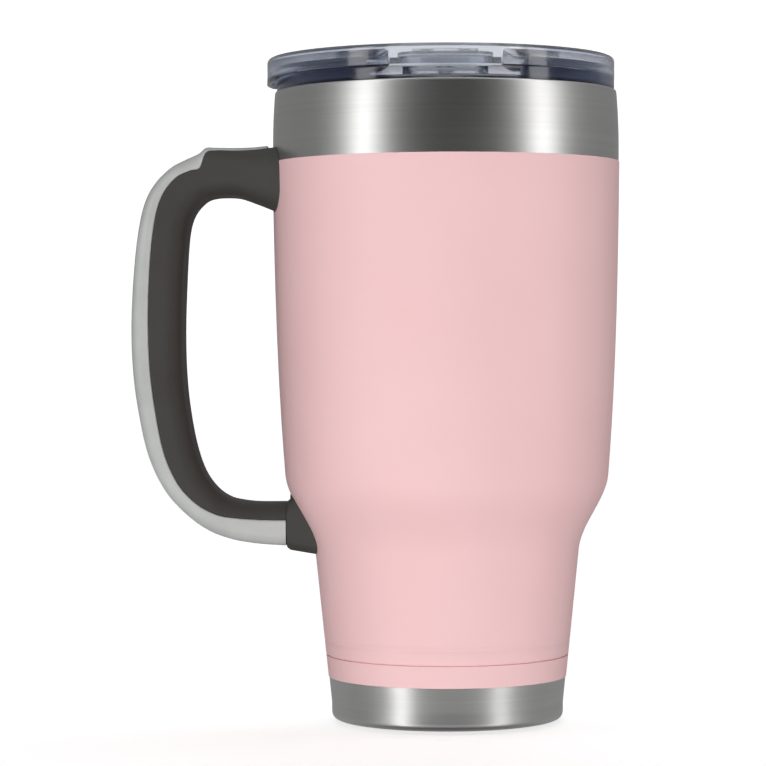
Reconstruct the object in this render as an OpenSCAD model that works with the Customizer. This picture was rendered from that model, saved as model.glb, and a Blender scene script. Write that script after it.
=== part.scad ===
// Insulated travel mug with a press-in lid.
// A double-walled steel cup with a powder-coated skin carries a two-tone
// handle that is screwed to two welded brackets. The clear lid is held by a
// silicone gasket and has a flap that swings up from the drink opening.
// Origin: centre of the resting face. +Z is up, the handle points to -X and
// the drink opening to -Y. Millimetres.

/* [Cup] */
// Height of the rim above the resting face
rim_z = 184.1; // [183.6:0.1:184.6]
// Outer radius of the steel at its widest, just under the rim
band_r = 50.95; // [50.8:0.05:51.1]
// Outer radius that the lower body would have at the resting face
foot_r = 33.35; // [33.2:0.05:33.5]
// Growth of the lower body's radius per millimetre of height
foot_taper = 0.102; // [0.098:0.001:0.106]
// Radius of the rounding round the bottom edge
base_round = 4.5; // [3:0.5:5]
// Thickness of the steel walls
steel_t = 0.5; // [0.4:0.1:0.7]
// Gap between the two walls
vacuum_gap = 3.2; // [3:0.1:3.4]
// Height of the cup's inner floor
floor_z = 13; // [12.5:0.5:15]
// Inner radius of the mouth, where the gasket seals
mouth_r = 46.6; // [46.5:0.05:46.7]

/* [Coat] */
// Thickness of the powder coat
coat_t = 0.2; // [0.15:0.05:0.25]
// Height of the coat's lower edge
coat_low = 13.2; // [12:0.1:15]
// Height of the coat's upper edge
coat_high = 163.5; // [162:0.1:164]
// Height of the seam between the base cap and the shell
seam_z = 19.7; // [19:0.1:20.5]
// Height of the faint line pressed in above the seam
line_z = 23.9; // [23:0.1:25]

/* [Base] */
// How far the pad stands proud of the steel
pad_proud = 0.7; // [0.5:0.1:0.9]
// Radius of the non-slip pad
pad_r = 27; // [24:0.5:27.5]

/* [Handle] */
// Half width of the handle's middle
grip_half_w = 13; // [12.5:0.1:13.5]
// Width of the rigid core inside the handle
core_w = 11; // [10:0.5:12]
// Thickness of the rigid core
core_t = 3.6; // [3.4:0.1:3.8]
// Distance of the upper screw from the cup's axis
upper_screw_x = 59; // [58:0.5:60]
// Distance of the lower screw from the cup's axis
lower_screw_x = 54.5; // [54:0.5:56]
// Radius of the screws' shanks
screw_r = 2; // [1.8:0.1:2]

/* [Lid] */
// Height of the lid above the rim
lid_rise = 9.6; // [9.4:0.1:9.8]
// Outer radius of the lid's neck, which rests on the rim
neck_r = 49.3; // [49.1:0.05:49.4]
// Outer radius of the lid's flange
flange_r = 50.75; // [50.6:0.05:50.85]
// How far the flange is set off the axis to leave a lip for the thumb
lip_shift = 1.4; // [1.2:0.1:1.5]
// Depth of the lid's skirt below the rim
skirt_depth = 13.1; // [12.6:0.1:14]
// Half width of the trough that the flap lies in
trough_half_w = 15.7; // [15.5:0.1:16]
// Thickness of the trough's side walls
trough_wall = 4.6; // [4.2:0.1:4.8]
// Radius of the flap's hinge pin
pin_r = 1.25; // [1:0.05:1.3]
// Clearance of the parts that turn or slide in each other
running_gap = 0.06; // [0.04:0.01:0.08]

/* [Hidden] */
$fn = 96;
tiny = 0.01;

// ---- Body outline -------------------------------------------------------

// Ends of the shoulder and of the upper body: height, radius, slope
shoulder_low = [50.5, foot_r + foot_taper * 50.5, foot_taper];
shoulder_high = [72.2, 47.15, 0.081];
body_top = [166, band_r - 0.25, 0.02];
band_peak = [169, band_r];
band_waist = [176, band_r - 0.42];
band_end = [rim_z - 1, band_r - 0.95];
outline_zs = concat([shoulder_low[0]], heights(shoulder_low, shoulder_high, 14),
                    heights(shoulder_high, body_top, 9), [band_peak[0], band_waist[0], band_end[0]]);

// Heights that split the way from one end to the next, the first left out
function heights(a, b, count) = [for (i = [1:count]) a[0] + i * (b[0] - a[0]) / count];

// Cubic through two ends given as height, radius and slope
function ease(z, a, b) =
    let (h = b[0] - a[0], t = (z - a[0]) / h)
    (2 * t ^ 3 - 3 * t ^ 2 + 1) * a[1] + (t ^ 3 - 2 * t ^ 2 + t) * h * a[2]
    + (3 * t ^ 2 - 2 * t ^ 3) * b[1] + (t ^ 3 - t ^ 2) * h * b[2];

// Outer radius of the steel at a height
function steel_r(z) =
    z <= shoulder_low[0] ? foot_r + foot_taper * z
    : z <= shoulder_high[0] ? ease(z, shoulder_low, shoulder_high)
    : z <= body_top[0] ? ease(z, shoulder_high, body_top)
    : lookup(z, [[body_top[0], body_top[1]], band_peak, band_waist, band_end]);

// Points of the steel's outline from one height to another, moved out by grow
function outline(z0, z1, grow = 0) =
    [for (z = concat([z0], [for (z = outline_zs) if (z > z0 + tiny && z < z1 - tiny) z], [z1]))
        [steel_r(z) + grow, z]];

function reversed(list) = [for (i = [len(list) - 1:-1:0]) list[i]];

// Points of an arc about a centre [r, z]
function arc(c, r, a0, a1, n = 6) =
    [for (i = [0:n]) let (a = a0 + (a1 - a0) * i / n) [c[0] + r * cos(a), c[1] + r * sin(a)]];

module revolve(points) {
    rotate_extrude() polygon(points);
}

// ---- Cup ----------------------------------------------------------------

base_z = pad_proud;
recess_depth = 0.8;
pad_seat_z = base_z + recess_depth;
recess_r = pad_r + 0.3;
pad_edge = 0.5;
cap_top_z = seam_z - 0.5;
shell_low_z = seam_z + 0.5;
wall_t = 2 * steel_t + vacuum_gap;
vacuum_plate_z = 8;
port_r = 1;
dimple_r = 3.5;
getter_x = 14;
getter_r = 4;
getter_cup_h = 0.6;
getter_h = 1.7;
rim_split_r = 48.9;
floor_round = 7;
// The liner leaves the body's outline here, and is straight from here up
wall_end_z = 160;
mouth_low_z = 166;

module non_slip_pad() {
    color("pink") revolve([[0, 0], [pad_r - pad_edge, 0], [pad_r, pad_edge],
                           [pad_r, pad_seat_z], [0, pad_seat_z]]);
}

module base_cap() {
    corner_r = steel_r(base_z + base_round) - base_round;
    corner = [corner_r, base_z + base_round];
    color("silver") revolve(concat(
        [[0, pad_seat_z], [recess_r, pad_seat_z], [recess_r, base_z]],
        arc(corner, base_round, -90, 0, 8),
        outline(base_z + base_round + 0.2, cap_top_z),
        reversed(outline(base_z + base_round + 0.2, cap_top_z, -steel_t)),
        arc(corner, base_round - steel_t, 0, -90, 8),
        [[recess_r + steel_t, base_z + steel_t], [recess_r + steel_t, pad_seat_z + steel_t]],
        [[0, pad_seat_z + steel_t]]));
}

module vacuum_base() {
    z = vacuum_plate_z;
    color("gainsboro") revolve(concat(
        [[port_r, z + steel_t], [dimple_r - 0.5, z + steel_t], [dimple_r, z]],
        [[steel_r(z) - steel_t - 2, z]],
        outline(z + 2, line_z, -steel_t),
        reversed(outline(z + 2, line_z, -2 * steel_t)),
        [[steel_r(z) - 2 * steel_t - 1.6, z + steel_t], [dimple_r + 0.5, z + steel_t]],
        [[dimple_r, z + 2 * steel_t], [port_r, z + 2 * steel_t]]));
}

// Tablet in a low round cup
module getter() {
    color("dimgray") translate([getter_x, 0, vacuum_plate_z + steel_t]) {
        cylinder(r = getter_r, h = getter_cup_h);
        cylinder(r = getter_r - 0.8, h = getter_h);
    }
}

// Bead of solder glass that fills the pump port
module vacuum_seal() {
    z = vacuum_plate_z;
    color("darkolivegreen") revolve([[0, z - 0.3], [1.8, z - 0.2], [2.8, z + 0.2],
        [2.6, z + steel_t], [port_r, z + steel_t], [port_r, z + steel_t + 0.5], [0, z + steel_t + 0.7]]);
}

module outer_shell() {
    inner_top_z = band_end[0] - 0.6;
    color("silver") revolve(concat(
        outline(shell_low_z, band_end[0]),
        [[band_end[1] - 0.25, rim_z - 0.3], [band_end[1] - 0.7, rim_z], [rim_split_r, rim_z]],
        [[rim_split_r, inner_top_z]],
        reversed(outline(shell_low_z, inner_top_z - 1, -steel_t))));
}

module inner_liner() {
    corner_z = floor_z + floor_round;
    corner = [steel_r(corner_z) - wall_t - floor_round, corner_z];
    mouth = [[mouth_r, mouth_low_z], [mouth_r, rim_z - 3.1]];
    flare = [[mouth_r + 0.9, rim_z - 1], [mouth_r + 1.5, rim_z - 0.3], [mouth_r + 2, rim_z]];
    color("lightgray") revolve(concat(
        [[0, floor_z]],
        arc(corner, floor_round, -90, 0, 8),
        outline(corner_z + 0.2, wall_end_z, -wall_t),
        mouth,
        flare,
        [[rim_split_r, rim_z], [rim_split_r, rim_z - 1.5]],
        [[mouth_r + steel_t, rim_z - 3.7], [mouth_r + steel_t, mouth_low_z]],
        reversed(outline(corner_z + 0.2, wall_end_z, steel_t - wall_t)),
        arc(corner, floor_round + steel_t, 0, -90, 8),
        [[0, floor_z - steel_t]]));
}

// The coat fills the weld seam and keeps two fine lines all round
module powder_coat() {
    color("pink") difference() {
        revolve(concat(
            outline(coat_low, cap_top_z),
            outline(cap_top_z, shell_low_z, -steel_t),
            outline(shell_low_z, coat_high),
            [[steel_r(coat_high) + coat_t, coat_high - 0.15]],
            reversed(outline(line_z + 0.6, coat_high - 0.3, coat_t)),
            [[steel_r(line_z) + coat_t * 0.4, line_z]],
            reversed(outline(seam_z + 0.5, line_z - 0.6, coat_t)),
            [[steel_r(seam_z) - 0.3, seam_z]],
            reversed(outline(coat_low + 0.3, seam_z - 0.5, coat_t)),
            [[steel_r(coat_low) + coat_t, coat_low + 0.15]]));
        plate_window(upper_plate);
        plate_window(lower_plate);
    }
}

// ---- Handle -------------------------------------------------------------

// Stations round the handle, from the upper pad to the lower one. Each row:
// outer point x, z; inner point x, z; thickness of the spine; half width as a
// share of the middle's; depth of the core below the outer surface
stations = [
    [-51.0, 168.2, -50.5, 149.8, 0.9, 1.27, 4.2],
    [-55.5, 167.7, -55.0, 151.6, 0.9, 1.19, 4.2],
    [-61.0, 167.5, -60.5, 153.5, 0.9, 1.10, 4.2],
    [-66.5, 167.6, -65.2, 153.8, 0.9, 1.06, 4.2],
    [-69.5, 167.6, -68.2, 153.5, 1.6, 1.04, 4.2],
    [-71.7, 165.9, -70.0, 152.9, 4.3, 1.03, 4.0],
    [-75.2, 164.3, -71.4, 151.9, 3.7, 1.02, 3.2],
    [-79.8, 161.9, -73.0, 150.2, 3.5, 1.01, 2.6],
    [-84.4, 157.4, -74.3, 148.0, 3.9, 1.00, 2.4],
    [-87.6, 151.4, -75.3, 144.9, 4.4, 1.00, 2.4],
    [-89.6, 142.2, -76.0, 139.8, 4.6, 1.00, 2.4],
    [-90.9, 130.0, -76.6, 130.0, 4.9, 1.00, 2.4],
    [-91.6, 116.0, -77.1, 116.0, 5.2, 1.00, 2.4],
    [-91.2, 103.0, -76.9, 103.5, 5.3, 0.98, 2.4],
    [-89.7, 91.0, -75.9, 92.5, 5.2, 0.95, 2.4],
    [-86.9, 78.2, -73.9, 81.5, 4.9, 0.91, 2.4],
    [-82.2, 68.1, -71.2, 73.5, 4.5, 0.87, 2.4],
    [-76.0, 61.0, -67.6, 68.4, 4.6, 0.83, 2.6],
    [-69.4, 56.2, -63.8, 65.7, 5.5, 0.80, 3.4],
    [-62.5, 53.6, -60.0, 64.7, 6.5, 0.77, 4.2],
    [-55.0, 52.3, -55.0, 64.2, 7.2, 0.74, 4.6],
    [-46.9, 51.7, -46.9, 64.2, 7.6, 0.71, 4.6]];
// Stations of the two pads, which run on into the cup's wall and are cut by it
upper_pad = [[-40.0, 168.4, -40.0, 146.0, 0.9, 1.30], [-48.0, 168.4, -48.0, 148.9, 0.9, 1.30]];
lower_pad = [[-46.6, 51.2, -46.7, 64.4, 0, 0.72], [-44.5, 50.0, -45.0, 66.0, 0, 0.73],
             [-41.0, 49.2, -43.0, 67.5, 0, 0.74], [-36.0, 49.2, -37.0, 68.0, 0, 0.74]];
steps = 3;
last = len(stations) - 1;
outer_round = 3.6;
inner_round = 5.2;
pad_rounding = 16;

// Smooth curve through the stations; u counts stations
function station(u) =
    let (i = min(floor(u), last - 1), t = u - i,
         a = stations[max(i - 1, 0)], b = stations[i],
         c = stations[i + 1], d = stations[min(i + 2, last)])
    0.5 * (2 * b + (c - a) * t + (2 * a - 5 * b + 4 * c - d) * t ^ 2
           + (3 * b - a - 3 * c + d) * t ^ 3);

// Point of a station's section: depth from the outer surface, and y
function at_depth(s, depth, y) =
    let (span = norm([s[2] - s[0], s[3] - s[1]]))
    [s[0] + (s[2] - s[0]) * depth / span, y, s[1] + (s[3] - s[1]) * depth / span];

// Half width of a section at a depth: a rectangle with four round corners,
// rounder where the section widens into the upper pad
function half_w(s, depth) =
    let (span = norm([s[2] - s[0], s[3] - s[1]]), w = s[5] * grip_half_w,
         more = pad_rounding * max(s[5] - 1.06, 0),
         ro = outer_round + more, ri = inner_round + more / 2,
         to = ro - depth, ti = ri - span + depth)
    to > 0 ? w - ro + sqrt(max(ro ^ 2 - to ^ 2, 0))
    : ti > 0 ? w - ri + sqrt(max(ri ^ 2 - ti ^ 2, 0)) : w;

// Depths at which a section's side is sampled between two depths
function side_depths(d0, d1, n) = [for (i = [0:n]) d0 + (d1 - d0) * (1 - cos(180 * i / n)) / 2];

// One ring of a section, up one side and down the other
function ring(s, d0, d1, n) =
    let (side = side_depths(d0, d1, n))
    concat([for (d = side) at_depth(s, d, half_w(s, d))],
           [for (d = reversed(side)) at_depth(s, d, -half_w(s, d))]);

function grip_ring(s) = ring(s, s[4], norm([s[2] - s[0], s[3] - s[1]]), 7);
function spine_ring(s) = ring(s, 0, s[4], 4);

// Closed skin through rings of equal length
module loft(rings) {
    m = len(rings[0]);
    n = len(rings);
    sides = [for (k = [0:n - 2]) for (j = [0:m - 1])
        let (a = k * m + j, b = k * m + (j + 1) % m, c = a + m, d = b + m)
        each [[a, b, d], [a, d, c]]];
    polyhedron(points = [for (r = rings) each r],
               faces = concat([[for (j = [m - 1:-1:0]) j]], sides,
                              [[for (j = [0:m - 1]) (n - 1) * m + j]]));
}

curve = [for (k = [0:last * steps]) station(k / steps)];

// Side view [x, z] of a line inside the core, below its outer face
function core_line(below) =
    [for (k = [2:last * steps - 2]) let (s = curve[k], p = at_depth(s, s[6] + below, 0)) [p[0], p[2]]];

// Extrude a side view [x, z] to a width across Y
module across(points, width) {
    rotate([90, 0, 0]) linear_extrude(height = width, center = true) polygon(points);
}

// Heights of the core's outer faces where the screws press on them
upper_core_z = at_depth(stations[2], stations[2][6], 0)[2];
lower_core_z = at_depth(stations[last - 1], stations[last - 1][6], 0)[2];
tab_t = 1.8;
tab_half_w = 4.5;
// Tabs of the brackets: nearest and furthest distance from the cup's axis
upper_tab_x = [51.5, 64];
lower_tab_x = [44, 59.5];
plate_t = 1.5;
// Welded plates: lowest and highest height, half width
upper_plate = [153, 162, 8];
lower_plate = [54, 64, 5.5];
head_h = 2.2;
head_r = 3.6;
upper_screw_l = 8;
lower_screw_l = 7;
hole_gap = 0.2;
washer_t = 0.6;
washer_r = 4.2;
pocket_r = 4.6;

module core_band() {
    across(concat(core_line(0), reversed(core_line(core_t))), core_w);
}

// The cup's outside including its coat, to cut the pads to fit
module coated_body() {
    revolve(concat([[0, 40]], outline(40, 180, coat_t), [[0, 180]]));
}

// Block on the handle's side that spans a welded plate's height and width
module plate_window(plate) {
    translate([-upper_tab_x[1], -plate[2], plate[0]]) cube([30, 2 * plate[2], plate[1] - plate[0]]);
}

// Welded plate: a slice of a shell round the steel
module weld_plate(plate) {
    low = plate[0];
    high = plate[1];
    intersection() {
        revolve(concat(outline(low, high), reversed(outline(low, high, plate_t))));
        plate_window(plate);
    }
}

module bracket_tab(xs, z) {
    translate([-xs[1], -tab_half_w, z]) cube([xs[1] - xs[0], 2 * tab_half_w, tab_t]);
}

module upper_tab() {
    bracket_tab(upper_tab_x, upper_core_z - core_t - tab_t);
}

module lower_tab() {
    bracket_tab(lower_tab_x, lower_core_z + core_t);
}

module screw_hole(x, r) {
    translate([-x, 0, 40]) cylinder(r = r, h = 140);
}

module upper_bracket() {
    color("lightslategray") difference() {
        union() {
            weld_plate(upper_plate);
            upper_tab();
        }
        screw_hole(upper_screw_x, screw_r);
    }
}

module lower_bracket() {
    color("lightslategray") difference() {
        union() {
            weld_plate(lower_plate);
            lower_tab();
        }
        screw_hole(lower_screw_x, screw_r);
        revolve(concat([[0, 50]], outline(50, 70), [[0, 70]]));
    }
}

// The core has flat seats for the washers and the brackets' tabs
module handle_core() {
    color("slategray") difference() {
        core_band();
        upper_tab();
        lower_tab();
        upper_head_pocket();
        lower_head_pocket();
        screw_hole(upper_screw_x, screw_r + hole_gap);
        screw_hole(lower_screw_x, screw_r + hole_gap);
    }
}

// Room for the upper screw's head, open to the spine's thumb rest
module upper_head_pocket() {
    translate([-upper_screw_x, 0, upper_core_z]) cylinder(r = pocket_r, h = 8);
}

// Room for the lower screw's head inside the spine
module lower_head_pocket() {
    depth = head_h + washer_t + hole_gap;
    translate([-lower_screw_x, 0, lower_core_z - depth]) cylinder(r = pocket_r, h = depth);
}

// Room for a screw's shank beyond the core
module shank_room(x, z, length) {
    translate([-x, 0, z]) cylinder(r = screw_r + 2 * hole_gap, h = length);
}

module handle_grip() {
    color([0.24, 0.24, 0.23]) difference() {
        loft([for (s = concat(upper_pad, curve, lower_pad)) grip_ring(s)]);
        coated_body();
        core_band();
        weld_plate(upper_plate);
        weld_plate(lower_plate);
        upper_tab();
        lower_tab();
        upper_head_pocket();
        shank_room(upper_screw_x, upper_core_z - upper_screw_l, upper_screw_l);
        shank_room(lower_screw_x, lower_core_z, lower_screw_l);
    }
}

module handle_spine() {
    color([0.74, 0.75, 0.74]) difference() {
        loft([for (k = [1:last * steps]) spine_ring(curve[k])]);
        core_band();
        lower_head_pocket();
        shank_room(lower_screw_x, lower_core_z, lower_screw_l);
    }
}

// Button-head screw along Z with a hexagon socket; up is 1 or -1
module screw(x, seat_z, up, length) {
    translate([-x, 0, seat_z]) mirror([0, 0, up > 0 ? 0 : 1]) difference() {
        union() {
            cylinder(r1 = head_r, r2 = head_r - 0.9, h = head_h);
            translate([0, 0, -length]) cylinder(r = screw_r, h = length);
        }
        translate([0, 0, head_h - 1.4]) cylinder(r = 1.44, h = 2, $fn = 6);
    }
}

module handle_screws() {
    color("dimgray") {
        screw(upper_screw_x, upper_core_z + washer_t, 1, upper_screw_l);
        screw(lower_screw_x, lower_core_z - washer_t, -1, lower_screw_l);
    }
}

module handle_washers() {
    color("lightgray") for (p = [[upper_screw_x, upper_core_z], [lower_screw_x, lower_core_z - washer_t]])
        translate([-p[0], 0, p[1]]) difference() {
            cylinder(r = washer_r, h = washer_t);
            translate([0, 0, -1]) cylinder(r = screw_r + hole_gap, h = 3);
        }
}

// ---- Lid ----------------------------------------------------------------

seat_z = rim_z + 0.1;
lid_top_z = rim_z + lid_rise;
ledge_z = rim_z + 3.4;
// Thickness of the web that joins the neck and the flange
web_t = 1.8;
skirt_low_z = rim_z - skirt_depth;
skirt_r = mouth_r - 0.5;
skirt_in_r = 43.2;
neck_in_r = 45.5;
groove_r = 44.8;
groove_low_z = skirt_low_z + 3.5;
groove_high_z = groove_low_z + 6.8;
trough_z = rim_z + 3.2;
trough_floor_t = 1.9;
deck_top_z = lid_top_z - 1.4;
deck_t = 1.9;
flange_t = 2.4;
wall_out = trough_half_w + trough_wall;
hinge_y = 3;
hinge_z = trough_z + 2.9;
drink_y = -36;
drink_half_l = 6.5;
drink_r = 4.5;
vent_y = -12;
vent_r = 1.6;

// Stadium that lies along X, centred on the drink opening
module drink_slot(r, z0, z1) {
    translate([0, drink_y, z0]) linear_extrude(height = z1 - z0) union() {
        square([2 * drink_half_l, 2 * r], center = true);
        translate([-drink_half_l, 0]) circle(r = r);
        translate([drink_half_l, 0]) circle(r = r);
    }
}

// Round bar along the hinge's axis
module along_hinge(half_length, r) {
    translate([-half_length, hinge_y, hinge_z]) rotate([0, 90, 0]) cylinder(r = r, h = 2 * half_length);
}

module lid_gasket() {
    low = groove_low_z + 0.1;
    high = groove_high_z - 0.1;
    root_r = skirt_r - 0.5;
    lip_r = mouth_r - running_gap;
    pitch = (high - low) / 3;
    fins = [for (z = [low, low + pitch, low + 2 * pitch])
        each [[root_r, z + 0.4], [lip_r, z + pitch - 0.9],
              [lip_r, z + pitch - 0.5], [root_r, z + pitch - 0.3]]];
    color("whitesmoke") revolve(concat(
        [[groove_r + running_gap, low], [root_r, low]], fins,
        [[root_r, high], [groove_r + running_gap, high]]));
}

module lid_neck() {
    revolve([[skirt_in_r, skirt_low_z], [skirt_r - 0.6, skirt_low_z], [skirt_r, skirt_low_z + 0.6],
        [skirt_r, groove_low_z], [groove_r, groove_low_z], [groove_r, groove_high_z],
        [skirt_r, groove_high_z], [skirt_r, seat_z], [neck_r, seat_z], [neck_r, ledge_z + web_t],
        [neck_in_r, ledge_z + web_t], [neck_in_r, seat_z + 1], [skirt_in_r, seat_z - 1]]);
}

// Ring round the top; set off the axis toward the handle
module lid_flange() {
    r_in = flange_r - flange_t;
    web_r = neck_in_r + lip_shift + 0.3;
    outer_edge = 1.2;
    inner_edge = 0.8;
    translate([-lip_shift, 0, 0]) revolve(concat(
        [[web_r, ledge_z + 0.2], [neck_r + 0.3, ledge_z + 0.2], [neck_r + 0.7, ledge_z]],
        [[flange_r, ledge_z + 0.4]],
        arc([flange_r - outer_edge, lid_top_z - outer_edge], outer_edge, 0, 90),
        arc([r_in + inner_edge, lid_top_z - inner_edge], inner_edge, 90, 180),
        [[r_in, ledge_z + web_t], [web_r, ledge_z + web_t]]));
}

// Lip that hangs a little lower on the handle's side, for the thumb
module thumb_lip() {
    drop_z = ledge_z - 1.2;
    half_angle = 36;
    translate([-lip_shift, 0, 0]) rotate([0, 0, 180 - half_angle]) rotate_extrude(angle = 2 * half_angle)
        polygon([[flange_r - 1.5, ledge_z + 1], [flange_r - 1.1, drop_z], [flange_r + 0.1, drop_z],
                 [flange_r, ledge_z + 1]]);
}

module lid_deck() {
    translate([-lip_shift, 0, deck_top_z - deck_t]) cylinder(r = flange_r - flange_t + 0.5, h = deck_t);
}

// Side walls of the trough, with a fillet under the deck on their outer side
module trough_walls() {
    fillet = 3.4;
    low = trough_z - trough_floor_t;
    top = deck_top_z - deck_t + tiny;
    intersection() {
        for (side = [-1, 1]) rotate([90, 0, 0]) linear_extrude(height = 96, center = true) {
            translate([side > 0 ? trough_half_w : -wall_out, low]) square([trough_wall, top - low + 0.5]);
            difference() {
                translate([side > 0 ? wall_out - tiny : -wall_out - fillet + tiny, top - fillet])
                    square([fillet, fillet + 0.5]);
                translate([side * (wall_out + fillet), top - fillet]) circle(r = fillet);
            }
        }
        translate([0, 0, low - 1]) cylinder(r = neck_in_r + 0.5, h = 20);
    }
}

module trough_floor() {
    intersection() {
        translate([-wall_out, -48, trough_z - trough_floor_t]) cube([2 * wall_out, 96, trough_floor_t]);
        translate([0, 0, trough_z - 5]) cylinder(r = neck_in_r + 0.5, h = 10);
    }
}

// The space that the flap lies in, its upper edges rounded
module trough_cut() {
    edge = 1.2;
    intersection() {
        rotate([90, 0, 0]) linear_extrude(height = 96, center = true) difference() {
            translate([-trough_half_w - edge, trough_z]) square([2 * (trough_half_w + edge), 10]);
            for (side = [-1, 1]) {
                translate([side * (trough_half_w + edge), deck_top_z - edge]) circle(r = edge);
                translate([side > 0 ? trough_half_w : -trough_half_w - edge - 1, trough_z - 1])
                    square([edge + 1, deck_top_z - edge - trough_z + 1]);
            }
        }
        union() {
            cylinder(r = neck_in_r, h = ledge_z + web_t + tiny);
            translate([-lip_shift, 0, 0]) cylinder(r = flange_r - flange_t, h = lid_top_z + 5);
        }
    }
}

module lid_body() {
    color([0.45, 0.48, 0.56, 0.6]) difference() {
        union() {
            lid_neck();
            lid_flange();
            thumb_lip();
            lid_deck();
            trough_walls();
            trough_floor();
        }
        trough_cut();
        drink_slot(drink_r, trough_z - 5, trough_z + 1);
        translate([0, vent_y, trough_z - 5]) cylinder(r = vent_r, h = 6);
        along_hinge(wall_out + 1, pin_r);
    }
}

module hinge_pin() {
    color("silver") along_hinge(wall_out - 0.4, pin_r);
}

// ---- Flap ---------------------------------------------------------------

flap_half_w = trough_half_w - 0.45;
flap_low_z = hinge_z - 2;
flap_t = 2;
flap_reach_r = 44.4;
dome_top_z = flap_low_z + 3.7;
barrel_r = 2.4;

module closure_flap() {
    color([0.5, 0.53, 0.6, 0.7]) difference() {
        union() {
            intersection() {
                translate([-flap_half_w, -50, flap_low_z]) cube([2 * flap_half_w, 50 + hinge_y, flap_t]);
                cylinder(r = flap_reach_r, h = 300);
            }
            along_hinge(flap_half_w, barrel_r);
            drink_slot(drink_r + 2.2, flap_low_z, dome_top_z);
            flap_tab();
        }
        drink_slot(drink_r + 1, flap_low_z - 1, dome_top_z - 1);
        along_hinge(flap_half_w + 1, pin_r + running_gap);
    }
}

// Raised finger tab along the flap's free edge
module flap_tab() {
    intersection() {
        difference() {
            cylinder(r = flap_reach_r, h = flap_low_z + 4.2);
            translate([0, 0, -1]) cylinder(r = flap_reach_r - 1.6, h = 300);
        }
        translate([-9, -50, flap_low_z]) cube([18, 20, 10]);
    }
}

// Silicone ring that presses round the drink opening
module drink_seal() {
    color("gray") difference() {
        union() {
            drink_slot(drink_r + 2.2, trough_z + 0.1, flap_low_z);
            drink_slot(drink_r + 1, trough_z + 0.1, dome_top_z - 1.6);
        }
        drink_slot(drink_r + 0.3, trough_z - 1, dome_top_z);
    }
}

module vent_seal() {
    color("gray") translate([0, vent_y, 0]) revolve([[0, trough_z - 1.2], [0.7, trough_z - 1.2],
        [1.05, trough_z + 0.1], [3, trough_z + 0.1], [3, flap_low_z], [0, flap_low_z]]);
}

non_slip_pad();
base_cap();
vacuum_base();
getter();
vacuum_seal();
outer_shell();
powder_coat();
inner_liner();
upper_bracket();
lower_bracket();
handle_core();
handle_grip();
handle_spine();
handle_screws();
handle_washers();
lid_gasket();
lid_body();
hinge_pin();
closure_flap();
drink_seal();
vent_seal();
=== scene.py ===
"""Insulated travel mug: steel cup with a pink coat, two-tone handle, clear press-in lid with a flap."""
import math

import bmesh
import bpy
from mathutils import Matrix, Vector


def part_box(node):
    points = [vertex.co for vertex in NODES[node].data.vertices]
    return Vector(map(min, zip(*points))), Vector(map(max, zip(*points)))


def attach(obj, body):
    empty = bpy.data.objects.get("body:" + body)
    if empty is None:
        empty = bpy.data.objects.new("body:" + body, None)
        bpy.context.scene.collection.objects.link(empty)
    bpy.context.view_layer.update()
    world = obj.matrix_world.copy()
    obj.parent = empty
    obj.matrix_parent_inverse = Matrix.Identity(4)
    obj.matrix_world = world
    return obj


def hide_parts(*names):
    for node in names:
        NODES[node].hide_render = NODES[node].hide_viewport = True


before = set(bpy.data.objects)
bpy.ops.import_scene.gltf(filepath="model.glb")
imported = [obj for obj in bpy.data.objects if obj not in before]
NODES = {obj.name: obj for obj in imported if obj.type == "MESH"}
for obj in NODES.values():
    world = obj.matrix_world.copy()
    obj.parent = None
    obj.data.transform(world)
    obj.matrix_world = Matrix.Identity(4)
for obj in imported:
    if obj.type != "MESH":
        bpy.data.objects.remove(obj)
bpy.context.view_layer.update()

MM = 0.001

# ---- Sizes shared with the CAD model, in millimetres -----------------------------------------------------

RIM_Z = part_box("outer_shell")[1].z / MM
COAT_LOW, COAT_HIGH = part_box("powder_coat")[0].z / MM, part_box("powder_coat")[1].z / MM
BASE_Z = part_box("base_cap")[0].z / MM
PAD_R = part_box("non_slip_pad")[1].x / MM
BAND_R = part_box("outer_shell")[1].x / MM
FOOT_R, FOOT_TAPER = 33.35, 0.102
SHOULDER_LOW = (50.5, FOOT_R + FOOT_TAPER * 50.5, FOOT_TAPER)
SHOULDER_HIGH = (72.2, 47.15, 0.081)
BODY_TOP = (163.5, BAND_R - 0.38, 0.014)
BAND_END = (RIM_Z - 1, BAND_R - 0.95, -0.08)
SEAM_Z, LINE_Z = 19.7, 23.9
COAT_T, STEEL_T, WALL_T = 0.2, 0.5, 4.2
MOUTH_R, MOUTH_LOW_Z = 46.6, 166
FLOOR_Z, FLOOR_ROUND = 13.0, 7
WALL_END_Z = 160
# Radius at which the shell meets the liner on the rim
RIM_SPLIT_R = 48.9
BASE_ROUND, RECESS_DEPTH = 4.5, 0.8
# Underside of the lid's flange
LEDGE_Z = RIM_Z + 3.4
# Thumb lip: how far its centre is set off the axis toward the handle, the radius outside which it lies, and
# in degrees off the handle how far it can reach, where its foot starts to slope and how far that takes
LIP_SHIFT, LIP_R, LIP_REACH, LIP_SLOPE_FROM, LIP_SLOPE_OVER = 1.4, 49.5, 40, 12, 12


# ---- Mesh helpers ----------------------------------------------------------------------------------------

def ease(z, a, b):
    """Cubic between two ends given as (height, radius, slope)."""
    h = b[0] - a[0]
    t = (z - a[0]) / h
    return ((2 * t**3 - 3 * t**2 + 1) * a[1] + (t**3 - 2 * t**2 + t) * h * a[2]
            + (3 * t**2 - 2 * t**3) * b[1] + (t**3 - t**2) * h * b[2])


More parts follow.
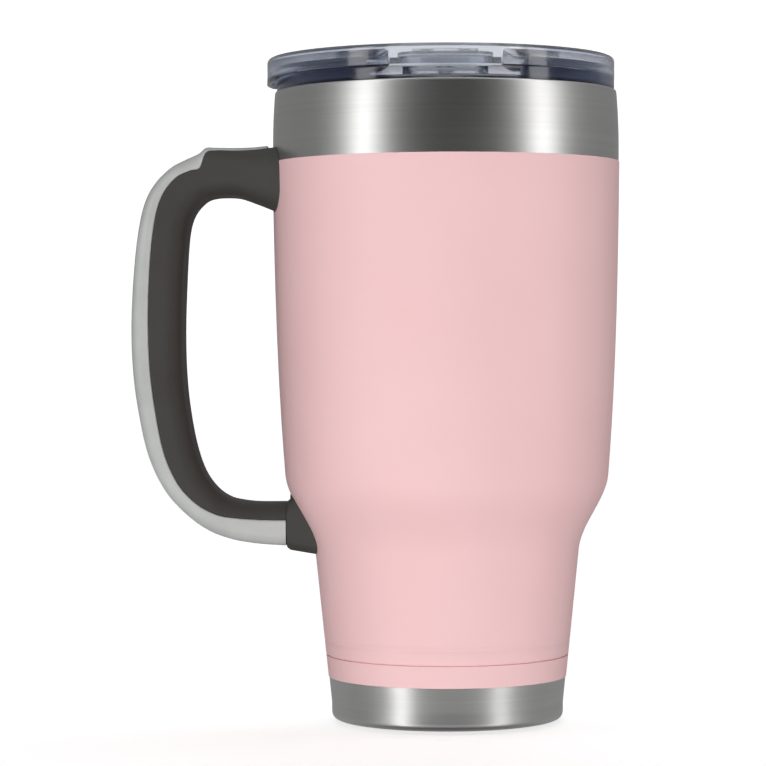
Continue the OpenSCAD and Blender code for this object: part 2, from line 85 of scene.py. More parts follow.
def steel_r(z):
    """Outer radius of the steel at a height."""
    if z <= SHOULDER_LOW[0]:
        return FOOT_R + FOOT_TAPER * z
    if z <= SHOULDER_HIGH[0]:
        return ease(z, SHOULDER_LOW, SHOULDER_HIGH)
    if z <= BODY_TOP[0]:
        return ease(z, SHOULDER_HIGH, BODY_TOP)
    return ease(z, BODY_TOP, BAND_END)


def outline(z0, z1, grow=0.0, step=1.5):
    """Outline points (radius, height, no rounding) from one height to another."""
    count = max(1, round(abs(z1 - z0) / step))
    zs = [z0 + (z1 - z0) * i / count for i in range(count + 1)]
    return [(steel_r(z) + grow, z, 0.0) for z in zs]


def rounded(corners, arc_points=5):
    """Turns (radius, height, rounding) corners of a closed outline into points with round corners."""
    out = []
    n = len(corners)
    for i, (r, z, rounding) in enumerate(corners):
        here = Vector((r, z))
        if rounding <= 0:
            out.append(here)
            continue
        back = Vector(corners[i - 1][:2]) - here
        ahead = Vector(corners[(i + 1) % n][:2]) - here
        half = back.angle(ahead) / 2
        cut = min(rounding / math.tan(half), 0.49 * back.length, 0.49 * ahead.length)
        start, end = here + back.normalized() * cut, here + ahead.normalized() * cut
        for k in range(arc_points + 1):
            t = k / arc_points
            out.append(start * (1 - t)**2 + here * 2 * t * (1 - t) + end * t**2)
    return out


def finish_mesh(bm, name, sharp_deg=38):
    """Makes an object from a bmesh: outward normals, smooth faces, sharp edges where the surface turns."""
    bmesh.ops.remove_doubles(bm, verts=bm.verts, dist=1e-7)
    bmesh.ops.recalc_face_normals(bm, faces=bm.faces)
    for face in bm.faces:
        face.smooth = True
    for edge in bm.edges:
        edge.smooth = len(edge.link_faces) == 2 and edge.calc_face_angle(0) < math.radians(sharp_deg)
    mesh = bpy.data.meshes.new(name)
    bm.to_mesh(mesh)
    bm.free()
    obj = bpy.data.objects.new(name, mesh)
    bpy.context.scene.collection.objects.link(obj)
    return obj


def lathe(name, corners, segments=192, arc_points=5, sharp_deg=38):
    """Closed outline of (radius, height, rounding) corners in mm, turned about Z."""
    points = rounded(corners, arc_points)
    bm = bmesh.new()
    rings = []
    for k in range(segments):
        a = 2 * math.pi * k / segments
        rings.append([bm.verts.new((p.x * math.cos(a) * MM, p.x * math.sin(a) * MM, p.y * MM))
                      for p in points])
    for k in range(segments):
        ring, after = rings[k], rings[(k + 1) % segments]
        for j in range(len(points)):
            i = (j + 1) % len(points)
            if points[j].x < 1e-6 and points[i].x < 1e-6:
                continue
            bm.faces.new((ring[j], after[j], after[i], ring[i]))
    return finish_mesh(bm, name, sharp_deg)


def loft(name, rings):
    """Closed skin through rings of equal length, in mm."""
    bm = bmesh.new()
    rows = [[bm.verts.new(Vector(p) * MM) for p in ring] for ring in rings]
    for a, b in zip(rows, rows[1:]):
        for j in range(len(a)):
            i = (j + 1) % len(a)
            bm.faces.new((a[j], a[i], b[i], b[j]))
    bm.faces.new(rows[0])
    bm.faces.new(rows[-1])
    bmesh.ops.triangulate(bm, faces=[f for f in bm.faces if len(f.verts) > 4])
    return finish_mesh(bm, name)


def slope_lip(bm):
    """Lets the foot of the lid's thumb lip run up into the flange to both sides of the handle."""
    for vert in bm.verts:
        x, y, z = vert.co.x / MM + LIP_SHIFT, vert.co.y / MM, vert.co.z / MM
        beside = abs(math.degrees(math.atan2(y, -x)))
        if z < LEDGE_Z - 0.05 and math.hypot(x, y) > LIP_R and beside < LIP_REACH:
            t = min(1, max(0, (beside - LIP_SLOPE_FROM) / LIP_SLOPE_OVER))
            vert.co.z += (3 * t**2 - 2 * t**3) * (LEDGE_Z - 0.02 - z) * MM


def refined(node, name, bevel_mm, shape=None):
    """A copy of a CAD node's mesh with its flats merged, its edges rounded and its shading smooth."""
    merge_distance, flat_deg, sharp_deg = 2e-6, 0.4, 30
    bm = bmesh.new()
    bm.from_mesh(NODES[node].data)
    bmesh.ops.remove_doubles(bm, verts=bm.verts, dist=merge_distance)
    if shape:
        shape(bm)
    bmesh.ops.dissolve_limit(bm, angle_limit=math.radians(flat_deg), verts=bm.verts, edges=bm.edges)
    for face in bm.faces:
        face.smooth = True
    mesh = bpy.data.meshes.new(name)
    bm.to_mesh(mesh)
    bm.free()
    if "custom_normal" in mesh.attributes:
        mesh.attributes.remove(mesh.attributes["custom_normal"])
    rough = bpy.data.objects.new(name + "_rough", mesh)
    bpy.context.scene.collection.objects.link(rough)
    bevel = rough.modifiers.new("bevel", "BEVEL")
    bevel.width = bevel_mm * MM
    bevel.segments = 2
    bevel.limit_method = "ANGLE"
    bevel.angle_limit = math.radians(sharp_deg)
    bevel.miter_outer = "MITER_ARC"
    rough.modifiers.new("normals", "WEIGHTED_NORMAL")
    evaluated = rough.evaluated_get(bpy.context.evaluated_depsgraph_get())
    obj = bpy.data.objects.new(name, bpy.data.meshes.new_from_object(evaluated))
    bpy.context.scene.collection.objects.link(obj)
    bpy.data.objects.remove(rough)
    return obj


def place(obj, body, slot, material, *nodes):
    """Gives a new piece its body, material and the CAD nodes that it stands for, which it hides; the slot is
    not used.
    """
    obj.data.materials.clear()
    obj.data.materials.append(material)
    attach(obj, body)
    if nodes:
        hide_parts(*nodes)
    return obj


# ---- Materials -------------------------------------------------------------------------------------------

class Shader:
    """A material with a Principled shader and short calls to add nodes."""

    def __init__(self, name, **sockets):
        self.material = bpy.data.materials.new(name)
        self.material.use_nodes = True
        self.nodes = self.material.node_tree.nodes
        self.links = self.material.node_tree.links
        self.principled = self.nodes["Principled BSDF"]
        for socket, value in sockets.items():
            self.principled.inputs[socket.replace("_", " ")].default_value = value
        self.coordinates = self.nodes.new("ShaderNodeTexCoord").outputs["Object"]

    def link(self, output, node, socket):
        self.links.new(output, node.inputs[socket])

    def stretched(self, scale):
        """Object coordinates scaled by (x, y, z)."""
        mapping = self.nodes.new("ShaderNodeMapping")
        mapping.inputs["Scale"].default_value = scale
        self.link(self.coordinates, mapping, "Vector")
        return mapping.outputs["Vector"]

    def noise(self, scale, detail=3.0, roughness=0.5, vector=None):
        noise = self.nodes.new("ShaderNodeTexNoise")
        noise.inputs["Scale"].default_value = scale
        noise.inputs["Detail"].default_value = detail
        noise.inputs["Roughness"].default_value = roughness
        self.link(vector or self.coordinates, noise, "Vector")
        return noise.outputs["Fac"]

    def ramp(self, value, start, end, low=0.0, high=1.0):
        """Goes from low to high while the value goes from start to end."""
        ramp = self.nodes.new("ShaderNodeMapRange")
        for socket, number in (("From Min", start), ("From Max", end), ("To Min", low), ("To Max", high)):
            ramp.inputs[socket].default_value = number
        self.link(value, ramp, "Value")
        return ramp.outputs["Result"]

    def math(self, operation, a, b):
        node = self.nodes.new("ShaderNodeMath")
        node.operation = operation
        self.links.new(a, node.inputs[0])
        self.links.new(b, node.inputs[1])
        return node.outputs["Value"]

    def mixed(self, a, b, factor, blend="MIX"):
        """Mixes two colours, each a colour or an output, by a number or an output."""
        mix = self.nodes.new("ShaderNodeMix")
        mix.data_type, mix.blend_type = "RGBA", blend
        for index, value in ((0, factor), (6, a), (7, b)):
            if isinstance(value, bpy.types.NodeSocket):
                self.links.new(value, mix.inputs[index])
            else:
                mix.inputs[index].default_value = value if index == 0 else (*value, 1)
        return mix.outputs[2]

    def spread(self, value, low, high, into):
        """Maps a 0.3 to 0.7 value to low to high, into a socket of the shader."""
        self.link(self.ramp(value, 0.3, 0.7, low, high), self.principled, into)

    def colours(self, value, dark, light):
        """Base colour between two colours."""
        ramp = self.nodes.new("ShaderNodeValToRGB")
        ramp.color_ramp.elements[0].position = 0.3
        ramp.color_ramp.elements[1].position = 0.7
        ramp.color_ramp.elements[0].color = (*dark, 1)
        ramp.color_ramp.elements[1].color = (*light, 1)
        self.link(value, ramp, "Fac")
        self.link(ramp.outputs["Color"], self.principled, "Base Color")

    def bump(self, value, distance_mm, strength=1.0, under=None):
        bump = self.nodes.new("ShaderNodeBump")
        bump.inputs["Distance"].default_value = distance_mm * MM
        bump.inputs["Strength"].default_value = strength
        self.link(value, bump, "Height")
        if under:
            self.link(under, bump, "Normal")
        self.link(bump.outputs["Normal"], self.principled, "Normal")
        return bump.outputs["Normal"]


def brushed_steel(name, tone, roughness, anisotropy=0.7, grain=1.0):
    """Steel brushed round the axis: fine rings that wander a little, and faint smudges."""
    s = Shader(name, Metallic=1.0, Anisotropic=anisotropy)
    tangent = s.nodes.new("ShaderNodeTangent")
    tangent.direction_type = "RADIAL"
    tangent.axis = "Z"
    s.link(tangent.outputs["Tangent"], s.principled, "Tangent")
    rings = s.noise(1.0, 1.0, 0.5, s.stretched((9, 9, 1300)))
    smudges = s.noise(30, 1.0)
    s.colours(rings, [c * tone * 0.97 for c in STEEL_TINT], [c * tone * 1.03 for c in STEEL_TINT])
    s.spread(smudges, roughness * 0.95, roughness * 1.05, "Roughness")
    s.bump(rings, 0.0012 * grain)
    return s.material


def powder_coat(name):
    """Satin powder coat: orange peel, a finer texture on top and slight tone changes."""
    s = Shader(name, Specular_IOR_Level=0.35)
    tone = s.noise(22, 3.0)
    peel = s.noise(900, 2.0, 0.5)
    fine = s.noise(3200, 1.0)
    s.colours(tone, (0.86, 0.547, 0.557), (0.885, 0.577, 0.587))
    s.spread(peel, 0.46, 0.6, "Roughness")
    first = s.bump(peel, 0.05, 0.5)
    s.bump(fine, 0.012, 0.5, under=first)
    return s.material


def moulded(name, dark, light, roughness, grain_mm, peel=1400):
    """Moulded plastic or silicone: eroded texture, faint flow marks and handling wear."""
    s = Shader(name, Specular_IOR_Level=0.4)
    grain = s.noise(peel, 2.0, 0.6)
    wear = s.noise(55, 4.0, 0.6)
    s.colours(wear, dark, light)
    s.spread(wear, roughness * 0.85, roughness * 1.15, "Roughness")
    s.bump(grain, grain_mm)
    return s.material


def smoke_clear(name, clear, front_painted_shade, side, low, density, roughness):
    """Smoky copolyester with painted shade: clear in the middle, darker in front, deep beside the trough and
    deepest in the neck there. The tint is painted by position to stand in for how light falls through the
    lid; the plastic itself is likely one even tint.
    """
    s = Shader(name, Transmission_Weight=1.0, IOR=1.5)
    position = s.nodes.new("ShaderNodeSeparateXYZ")
    s.link(s.nodes.new("ShaderNodeTexCoord").outputs["Object"], position, "Vector")
    left, right = (-15 * MM, -19 * MM), (20 * MM, 22 * MM)
    neck, front_edge = ((RIM_Z + 4.6) * MM, (RIM_Z + 3.6) * MM), (-44.5 * MM, -45.5 * MM)
    # Painted shade: position masks that darken the tint at the front edge, beside the trough and most in the
    # neck beside it
    beside = s.math("MAXIMUM", s.ramp(position.outputs["X"], *left), s.ramp(position.outputs["X"], *right))
    neck_shade_mask = s.ramp(position.outputs["Z"], *neck)
    flow = s.noise(28, 2.0)
    ahead = s.ramp(position.outputs["Y"], *front_edge)
    tint_with_painted_shade = s.mixed(s.mixed(clear, front_painted_shade, ahead), side, beside)
    tint_with_painted_shade = s.mixed(tint_with_painted_shade, low, s.math("MULTIPLY", beside, neck_shade_mask))
    streaks = s.mixed((0.96, 0.96, 0.96), (1, 1, 1), flow)
    s.link(s.mixed(tint_with_painted_shade, streaks, 1.0, "MULTIPLY"), s.principled, "Base Color")
    scuffs = s.noise(700, 3.0, 0.6)
    s.spread(scuffs, roughness * 0.7, roughness * 1.3, "Roughness")
    s.bump(flow, 0.08)
    absorbs = s.nodes.new("ShaderNodeVolumeAbsorption")
    absorbs.inputs["Color"].default_value = (0.0, 0.04, 0.2, 1)
    absorbs.inputs["Density"].default_value = density
    output = s.nodes["Material Output"]
    s.link(absorbs.outputs["Volume"], output, "Volume")
    lit_through = s.nodes.new("ShaderNodeBsdfTransparent")
    lit_through.inputs["Color"].default_value = (0.86, 0.87, 0.89, 1)
    mix = s.nodes.new("ShaderNodeMixShader")
    s.link(s.nodes.new("ShaderNodeLightPath").outputs["Is Shadow Ray"], mix, "Fac")
    s.links.new(s.principled.outputs["BSDF"], mix.inputs[1])
    s.links.new(lit_through.outputs["BSDF"], mix.inputs[2])
    s.link(mix.outputs["Shader"], output, "Surface")
    return s.material


def silicone(name, colour, roughness):
    """Translucent silicone with a faint bloom."""
    s = Shader(name, Transmission_Weight=0.1, IOR=1.41, Subsurface_Weight=0.4, Subsurface_Scale=0.002)
    bloom = s.noise(120, 4.0)
    s.colours(bloom, [c * 0.93 for c in colour], colour)
    s.spread(bloom, roughness * 0.85, roughness * 1.2, "Roughness")
    s.bump(s.noise(2600, 1.0), 0.008)
    return s.material


STEEL_TINT = (1, 0.995, 0.985)
STEEL = brushed_steel("brushed_steel", 0.60, 0.295)
BASE_STEEL = brushed_steel("base_steel", 0.72, 0.32, 0.4)
LINER_STEEL = brushed_steel("liner_steel", 0.66, 0.25)
FASTENER_STEEL = brushed_steel("fastener_steel", 0.58, 0.2, 0.2, 0.5)
COAT = powder_coat("pink_powder_coat")
GRIP = moulded("grip_soft_touch", (0.036, 0.035, 0.032), (0.046, 0.045, 0.041), 0.62, 0.02)
SPINE = moulded("spine_satin", (0.42, 0.43, 0.42), (0.5, 0.51, 0.5), 0.42, 0.008)
CORE = moulded("core_nylon", (0.02, 0.02, 0.02), (0.035, 0.035, 0.035), 0.5, 0.015)
PAD = moulded("pad_silicone", (0.66, 0.32, 0.46), (0.74, 0.4, 0.54), 0.7, 0.012)
SEAL = silicone("clear_silicone", (0.8, 0.82, 0.85), 0.35)
# Lid plastic whose tint varies by position as painted shade, not as the plastic's own colour
SMOKE_WITH_PAINTED_SHADE = smoke_clear("smoke_clear", (0.95, 0.955, 0.965), (0.6, 0.63, 0.69), (0.37, 0.4, 0.48),
                    (0.09, 0.105, 0.165), 3.0, 0.12)
GETTER = moulded("getter_pellet", (0.05, 0.05, 0.055), (0.09, 0.09, 0.095), 0.8, 0.03)
SOLDER_GLASS = moulded("solder_glass", (0.02, 0.03, 0.015), (0.04, 0.05, 0.025), 0.12, 0.01, 400)


# ---- Cup -------------------------------------------------------------------------------------------------

def make_shell():
    low = SEAM_Z + 0.5
    outside = outline(low, RIM_Z - 1.6)
    rim = [(BAND_R - 1.05, RIM_Z, 0.9), (RIM_SPLIT_R, RIM_Z, 0), (RIM_SPLIT_R, RIM_Z - 1.6, 0.4)]
    inside = outline(RIM_Z - 2.6, low, -STEEL_T)
    return lathe("steel_shell", outside + rim + inside)


def make_liner():
    corner_z = FLOOR_Z + FLOOR_ROUND
    back_r = MOUTH_R + STEEL_T
    corner_r = steel_r(corner_z) - WALL_T
    wall = [(r, z, 0) for r, z, _ in outline(corner_z + 1, WALL_END_Z, -WALL_T)]
    mouth = [(MOUTH_R, MOUTH_LOW_Z, 0), (MOUTH_R, RIM_Z - 3.1, 2),
             (MOUTH_R + 1.1, RIM_Z - 0.8, 2), (MOUTH_R + 2.1, RIM_Z, 0.6)]
    back = [(RIM_SPLIT_R, RIM_Z, 0), (RIM_SPLIT_R, RIM_Z - 1.5, 0),
            (back_r, RIM_Z - 3.7, 0), (back_r, MOUTH_LOW_Z, 0)]
    outer = outline(WALL_END_Z, corner_z + 1, STEEL_T - WALL_T)
    foot = [(corner_r + STEEL_T, FLOOR_Z - STEEL_T, 7.5), (0, FLOOR_Z - STEEL_T, 0)]
    floor = [(0, FLOOR_Z, 0), (corner_r, FLOOR_Z, FLOOR_ROUND)]
    return lathe("steel_liner", floor + wall + mouth + back + outer + foot, arc_points=8)


def make_coat():
    """Powder coat with crisp masked edges, the weld seam's fine groove and the faint line above it."""
    edge, under = 0.12, 0.02
    seam_r, line_r = steel_r(SEAM_Z) - 0.38, steel_r(LINE_Z) + COAT_T * 0.2
    up = outline(COAT_LOW + 0.3, SEAM_Z - 0.22, COAT_T)
    seam = [(seam_r, SEAM_Z - 0.14, 0), (seam_r, SEAM_Z + 0.14, 0)]
    middle = outline(SEAM_Z + 0.22, LINE_Z - 0.35, COAT_T)
    line = [(line_r, LINE_Z - 0.1, 0), (line_r, LINE_Z + 0.1, 0)]
    top = outline(LINE_Z + 0.35, COAT_HIGH - 0.2, COAT_T)
    end = [(steel_r(COAT_HIGH) + COAT_T, COAT_HIGH, edge), (steel_r(COAT_HIGH) + under, COAT_HIGH, 0)]
    inside = outline(COAT_HIGH - 0.5, SEAM_Z + 0.5, under)
    inside += outline(SEAM_Z + 0.5, SEAM_Z - 0.5, -0.45, 0.5)
    back = outline(SEAM_Z - 0.5, COAT_LOW, under)
    start = [(steel_r(COAT_LOW) + COAT_T, COAT_LOW, edge)]
    return lathe("pink_coat", up + seam + middle + line + top + end + inside + back + start, sharp_deg=60)


def make_base():
    """Drawn base cap with its rounding, the recess for the pad and a bead inside it."""
    foot_z = BASE_Z + BASE_ROUND
    recess_r, recess_z = PAD_R + 0.3, BASE_Z + RECESS_DEPTH
    under = [(0, recess_z, 0), (recess_r, recess_z, 0.3), (recess_r, BASE_Z, 0.3)]
    side = [(steel_r(foot_z), BASE_Z, BASE_ROUND)] + outline(foot_z + 0.4, SEAM_Z - 0.5)
    inside = outline(SEAM_Z - 0.5, foot_z + 0.4, -STEEL_T)
    inside += [(steel_r(foot_z) - STEEL_T, BASE_Z + STEEL_T, 4)]
    floor = [(recess_r + STEEL_T, BASE_Z + STEEL_T, 0), (recess_r + STEEL_T, recess_z + STEEL_T, 0),
             (0, recess_z + STEEL_T, 0)]
    return lathe("steel_base", under + side + inside + floor, arc_points=10)


def make_pad():
    """Non-slip pad with shallow rings pressed into its resting face."""
    rings = []
    depth, soft = 0.35, 0.1
    for r in (6, 11, 16, 21):
        rings += [(r, 0, soft), (r + 0.25, depth, soft), (r + 0.85, depth, soft), (r + 1.1, 0, soft)]
    top = BASE_Z + RECESS_DEPTH
    edge = [(PAD_R, 0, 0.5), (PAD_R, top, 0), (0, top, 0)]
    return lathe("base_pad", [(0, 0, 0)] + rings + edge, arc_points=3)


place(make_shell(), "cup", "steel", STEEL, "outer_shell")
place(make_liner(), "cup", "steel", LINER_STEEL, "inner_liner")
place(make_coat(), "cup", "pink_coat", COAT, "powder_coat")
place(make_base(), "cup", "steel", BASE_STEEL, "base_cap")
place(make_pad(), "cup", "pad_silicone", PAD, "non_slip_pad")


# ---- Handle ----------------------------------------------------------------------------------------------

# Round the handle from the upper pad. Each row: outer point x, z; inner point x, z; thickness of the spine;
# half width as a share of the middle's
STATIONS = [
    (-51.0, 168.2, -50.5, 149.8, 0.9, 1.27), (-55.5, 167.7, -55.0, 151.6, 0.9, 1.19),
    (-61.0, 167.5, -60.5, 153.5, 0.9, 1.10), (-66.5, 167.6, -65.2, 153.8, 0.9, 1.06),
    (-69.5, 167.6, -68.2, 153.5, 1.6, 1.04), (-71.7, 165.9, -70.0, 152.9, 4.3, 1.03),
    (-75.2, 164.3, -71.4, 151.9, 3.7, 1.02), (-79.8, 161.9, -73.0, 150.2, 3.5, 1.01),
    (-84.4, 157.4, -74.3, 148.0, 3.9, 1.00), (-87.6, 151.4, -75.3, 144.9, 4.4, 1.00),
    (-89.6, 142.2, -76.0, 139.8, 4.6, 1.00), (-90.9, 130.0, -76.6, 130.0, 4.9, 1.00),
    (-91.57, 116.0, -77.1, 116.0, 5.2, 1.00), (-91.2, 103.0, -76.9, 103.5, 5.3, 0.98),
    (-89.7, 91.0, -75.9, 92.5, 5.2, 0.95), (-86.9, 78.2, -73.9, 81.5, 4.9, 0.91),
    (-82.2, 68.1, -71.2, 73.5, 4.5, 0.87), (-76.0, 61.0, -67.6, 68.4, 4.6, 0.83),
    (-69.4, 56.2, -63.8, 65.7, 5.5, 0.80), (-62.5, 53.6, -60.0, 64.7, 6.5, 0.77),
    (-55.0, 52.3, -55.0, 64.2, 7.2, 0.74), (-46.9, 51.7, -46.9, 64.2, 7.6, 0.71)]
UPPER_PAD = [(-48.0, 168.4, -48.0, 148.9, 0.9, 1.30), (-49.8, 168.3, -49.6, 149.3, 0.9, 1.29)]
LOWER_PAD = [(-46.6, 51.2, -46.7, 64.4, 0.0, 0.72), (-45.6, 50.4, -45.8, 65.2, 0.0, 0.725),
             (-44.5, 50.0, -45.0, 66.0, 0.0, 0.73), (-41.0, 49.2, -43.0, 66.5, 0.0, 0.74)]
HALF_W = 13.0
OUTER_ROUND, INNER_ROUND, PAD_ROUNDING = 3.6, 5.2, 16.0
STEPS = 8
SECTION_POINTS, SPINE_POINTS = 24, 14
# Width of the part line's nick between grip and spine, and the depth over which it fades
NICK, NICK_FADE = 0.3, 0.35


def station(u):
    """Smooth curve through the stations; u counts stations."""
    last = len(STATIONS) - 1
    i = min(int(u), last - 1)
    t = u - i
    a, b = STATIONS[max(i - 1, 0)], STATIONS[i]
    c, d = STATIONS[i + 1], STATIONS[min(i + 2, last)]
    return [0.5 * (2 * q + (r - p) * t + (2 * p - 5 * q + 4 * r - w) * t**2 + (3 * q - p - 3 * r + w) * t**3)
            for p, q, r, w in zip(a, b, c, d)]


def span(s):
    return math.hypot(s[2] - s[0], s[3] - s[1])


def half_width(s, depth):
    """Half width of a section at a depth: round corners, rounder toward the upper pad."""
    w = s[5] * HALF_W
    more = PAD_ROUNDING * max(s[5] - 1.06, 0)
    outer, inner = OUTER_ROUND + more, INNER_ROUND + more / 2
    to, ti = outer - depth, inner - span(s) + depth
    if to > 0:
        return w - outer + math.sqrt(max(outer**2 - to**2, 0))
    if ti > 0:
        return w - inner + math.sqrt(max(inner**2 - ti**2, 0))
    return w


def ring(s, d0, d1, count, nick0=0.0, nick1=0.0):
    """A section's ring between two depths. A nick draws the side in at an end, to show the part line."""
    side = []
    for i in range(count + 1):
        d = d0 + (d1 - d0) * (1 - math.cos(math.pi * i / count)) / 2
        y = half_width(s, d)
        y -= nick0 * max(0, 1 - (d - d0) / NICK_FADE)**2 if nick0 else 0
        y -= nick1 * max(0, 1 - (d1 - d) / NICK_FADE)**2 if nick1 else 0
        f = d / span(s)
        side.append((s[0] + (s[2] - s[0]) * f, y, s[1] + (s[3] - s[1]) * f))
    return side + [(x, -y, z) for x, y, z in reversed(side)]


def on_body(points, grow):
    """Moves ring points along X onto the coat, so that a pad ends on the cup's surface."""
    return [(-math.sqrt((steel_r(z) + COAT_T + grow)**2 - y**2), y, z) for x, y, z in points]


def make_grip():
    """Grip from the upper pad round to the lower one, with its outer side cut back under the spine."""
    last = len(STATIONS) - 1
    curve = [station(k / STEPS) for k in range(last * STEPS + 1)]
    top = ring(UPPER_PAD[0], UPPER_PAD[0][4], span(UPPER_PAD[0]), SECTION_POINTS)
    low = ring(LOWER_PAD[-1], 0, span(LOWER_PAD[-1]), SECTION_POINTS)
    rings = [on_body(top, -0.1), on_body(top, 0.25)]
    rings += [ring(s, s[4], span(s), SECTION_POINTS, NICK) for s in curve]
    rings += [ring(s, 0, span(s), SECTION_POINTS) for s in LOWER_PAD[:-2]]
    rings += [on_body(low, 0.25), on_body(low, -0.1)]
    return loft("handle_grip_soft", rings)


def make_spine():
    """Spine along the outer side of the grip, with a hairline gap between them."""
    last = len(STATIONS) - 1
    first_step, gap = 2, 0.05
    curve = [station(k / STEPS) for k in range(first_step, last * STEPS + 1)]
    return loft("handle_spine_cover", [ring(s, 0, s[4] - gap, SPINE_POINTS, 0, NICK) for s in curve])


place(make_grip(), "cup", "grip_charcoal", GRIP, "handle_grip")
place(make_spine(), "cup", "spine_grey", SPINE, "handle_spine")


# ---- Pieces refined from their CAD nodes: name, node, body, slot, material, rounding in mm, reshaping ----

for piece, node_name, body, slot, finish, rounding, shape in (
        # The lid and flap get the smoke tint with its painted shade, darker at the front, beside the trough
        # and in the neck
        ("lid_clear", "lid_body", "lid", "smoke_clear", SMOKE_WITH_PAINTED_SHADE, 0.25, slope_lip),
        ("lid_flap", "closure_flap", "flap", "smoke_clear", SMOKE_WITH_PAINTED_SHADE, 0.25, None),
        ("flap_drink_seal", "drink_seal", "flap", "clear_silicone", SEAL, 0.15, None),
        ("flap_vent_seal", "vent_seal", "flap", "clear_silicone", SEAL, 0.15, None),
        ("lid_seal_ring", "lid_gasket", "gasket", "clear_silicone", SEAL, 0.1, None)):
    place(refined(node_name, piece, rounding, shape), body, slot, finish, node_name)


# ---- CAD nodes that stay ---------------------------------------------------------------------------------

for node_name, finish in {
        "vacuum_base": STEEL, "getter": GETTER, "vacuum_seal": SOLDER_GLASS, "upper_bracket": STEEL,
        "lower_bracket": STEEL, "handle_core": CORE, "handle_screws": FASTENER_STEEL,
        "handle_washers": FASTENER_STEEL, "hinge_pin": FASTENER_STEEL}.items():
    NODES[node_name].data.materials.clear()
    NODES[node_name].data.materials.append(finish)


# ---- Camera, light and floor -----------------------------------------------------------------------------

def make_camera():
    data = bpy.data.cameras.new("camera")
    data.lens = 134.6
    data.sensor_width = 36.0
    camera = bpy.data.objects.new("camera", data)
    yaw, pitch, roll = math.radians(1.268), math.radians(0.844), math.radians(-0.2)
    level = Matrix.Rotation(math.pi / 2 - pitch, 4, "X")
    turn = Matrix.Rotation(yaw, 4, "Z") @ level @ Matrix.Rotation(roll, 4, "Z")
    camera_at = (0, -0.841, 0.1114)
    camera.matrix_world = Matrix.Translation(camera_at) @ turn
    bpy.context.scene.collection.objects.link(camera)
    bpy.context.scene.camera = camera


def area_light(name, place_at, look_at, width, height, power, only_reflected=False):
    """Soft box that either lights the surfaces or only shows in their reflections."""
    data = bpy.data.lights.new(name, "AREA")
    data.shape = "RECTANGLE"
    data.size, data.size_y, data.energy = width, height, power
    light = bpy.data.objects.new(name, data)
    aim = (Vector(look_at) - Vector(place_at)).to_track_quat("-Z", "Y")
    light.matrix_world = Matrix.Translation(place_at) @ aim.to_matrix().to_4x4()
    light.visible_glossy = only_reflected
    light.visible_diffuse = not only_reflected
    light.visible_camera = False
    light.visible_transmission = False
    bpy.context.scene.collection.objects.link(light)


def strip(name, azimuth_deg, low, high, width, radiance):
    """Upright strip that the steel mirrors, at an azimuth from the camera's side toward +X."""
    a = math.radians(azimuth_deg)
    middle = (low + high) / 2
    at = (STRIP_DISTANCE * math.sin(a), -STRIP_DISTANCE * math.cos(a), middle)
    power = radiance * math.pi * width * (high - low)
    area_light(name, at, (0, 0, middle), width, high - low, power, only_reflected=True)


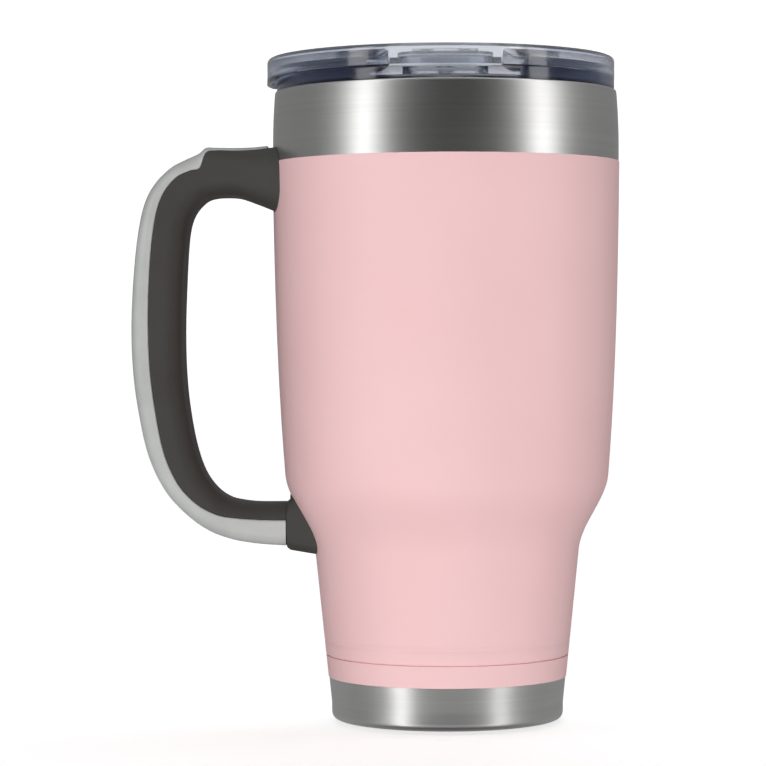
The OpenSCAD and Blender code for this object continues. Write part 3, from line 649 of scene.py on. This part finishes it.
def make_world():
    """White to the camera and through the lid; in reflections dark on the camera's side, grey elsewhere."""
    world = bpy.data.worlds.new("studio")
    world.use_nodes = True
    bpy.context.scene.world = world
    nodes, links = world.node_tree.nodes, world.node_tree.links

    def ramp_of(value, low, high, dark, light):
        spread = nodes.new("ShaderNodeMapRange")
        spread.inputs["From Min"].default_value, spread.inputs["From Max"].default_value = low, high
        spread.inputs["To Min"].default_value, spread.inputs["To Max"].default_value = dark, light
        links.new(value, spread.inputs["Value"])
        return spread.outputs["Result"]

    def calculate(operation, a, b):
        node = nodes.new("ShaderNodeMath")
        node.operation = operation
        links.new(a, node.inputs[0])
        links.new(b, node.inputs[1])
        return node.outputs["Value"]

    direction = nodes.new("ShaderNodeSeparateXYZ")
    links.new(nodes.new("ShaderNodeTexCoord").outputs["Generated"], direction.inputs["Vector"])
    behind = ramp_of(direction.outputs["Y"], -0.7, 0.5, 0.03, 0.26)
    below = calculate("MULTIPLY", ramp_of(direction.outputs["Z"], 0.0, -0.35, 0.0, 0.33),
                      ramp_of(direction.outputs["Y"], 0.2, -0.8, 0.2, 1.0))
    below = calculate("MULTIPLY", below, ramp_of(direction.outputs["Z"], -0.5, -0.8, 1.0, 0.0))
    above = ramp_of(direction.outputs["Z"], 0.45, 0.85, 0.0, 0.7)
    path = nodes.new("ShaderNodeLightPath")
    above = calculate("SUBTRACT", above, path.outputs["Is Diffuse Ray"])
    above.node.use_clamp = True
    studio = calculate("ADD", calculate("ADD", behind, below), above)
    clear = calculate("MAXIMUM", path.outputs["Is Camera Ray"], path.outputs["Is Transmission Ray"])
    links.new(calculate("MAXIMUM", studio, clear), nodes["Background"].inputs["Color"])


def make_stage():
    """Pale floor that curves up behind the object."""
    bm = bmesh.new()
    back, radius, width = 1.1, 0.5, 3.0
    below_pad = 0.00005
    profile = [(-1.6, 0.0), (back, 0.0)]
    profile += [(back + radius * math.sin(a), radius * (1 - math.cos(a)))
                for a in (math.radians(6 * k) for k in range(1, 16))] + [(back + radius, 2.2)]
    rows = [[bm.verts.new((x, y, z - below_pad)) for x in (-width, width)] for y, z in profile]
    for a, b in zip(rows, rows[1:]):
        bm.faces.new((a[0], a[1], b[1], b[0]))
    stage = finish_mesh(bm, "pale_floor")
    s = Shader("pale_floor", Roughness=0.9, Specular_IOR_Level=0.1)
    s.principled.inputs["Emission Color"].default_value = (1, 1, 1, 1)
    s.principled.inputs["Emission Strength"].default_value = 0.6
    s.colours(s.noise(3), (0.93, 0.93, 0.93), (0.95, 0.95, 0.95))
    stage.data.materials.append(s.material)
    stage.visible_glossy = False
    stage.visible_diffuse = False
    stage.visible_shadow = False


make_camera()
make_world()
make_stage()
MIDDLE = (0, 0, 0.1)
area_light("key_soft", (0.0, -1.45, -0.2), MIDDLE, 1.2, 1.2, 21)
area_light("fill_left", (-1.2, -0.22, 0.3), MIDDLE, 0.8, 1.0, 3.5)
area_light("fill_right", (1.2, 0.2, 0.3), MIDDLE, 0.8, 1.0, 3.6)
area_light("back_soft", (0, 1.0, 1.5), MIDDLE, 1.8, 1.0, 8)
STRIP_DISTANCE, STRIP_SPLIT = 1.2, -0.05
for name, azimuth, low_azimuth, low_radiance in (("left", -53.8, -46, 2.5), ("right", 64.7, 53, 1.8)):
    strip("strip_high_" + name, azimuth, STRIP_SPLIT, 1.4, 0.3, 3.9)
    strip("strip_low_" + name, low_azimuth, -0.75, STRIP_SPLIT, 0.25, low_radiance)

bpy.context.scene.view_settings.view_transform = "Standard"
